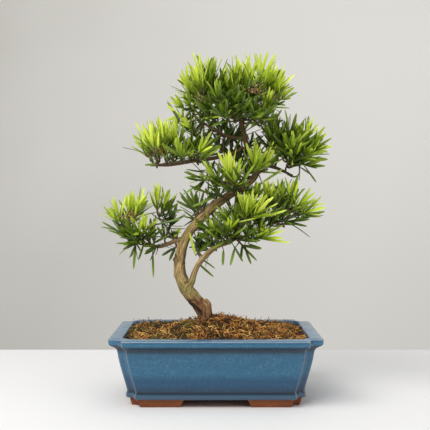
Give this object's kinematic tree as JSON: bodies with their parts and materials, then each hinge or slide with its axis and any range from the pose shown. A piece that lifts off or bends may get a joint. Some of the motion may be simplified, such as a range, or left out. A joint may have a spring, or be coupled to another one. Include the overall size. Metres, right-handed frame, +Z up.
{
  "type": "potted bonsai",
  "caption": "S-curved bonsai conifer with pads of narrow strap-shaped leaves, planted in dried moss in a rectangular glazed pot with stepped-in corners and low feet.",
  "frame": {"origin": "middle of the pot's footprint, on the surface that it stands on; the foliage reaches equally far past it to both sides", "axes": "+X to the right along the pot's long side as seen from the tree's face, +Y to the back, +Z up"},
  "size_m": [0.2781, 0.172, 0.4096],
  "materials": {
    "blue_glaze": "gloss",
    "black_plastic": "matte",
    "soil": "matte",
    "dry_moss": "matte",
    "bark": "matte",
    "young_leaf": "satin",
    "old_leaf": "satin"
  },
  "bodies": {
    "root": {"pot": "blue_glaze", "drain_screen_left": "black_plastic", "drain_screen_right": "black_plastic", "soil": "soil", "moss": "dry_moss", "trunk": "bark", "foliage_crown": "young_leaf", "foliage_upper_left": "young_leaf", "foliage_middle_left": "young_leaf", "foliage_middle_right": "old_leaf", "foliage_centre": "young_leaf", "foliage_low_right": "young_leaf", "foliage_low_left": "young_leaf", "foliage_inner_left": "old_leaf"}
  },
  "joints": []
}
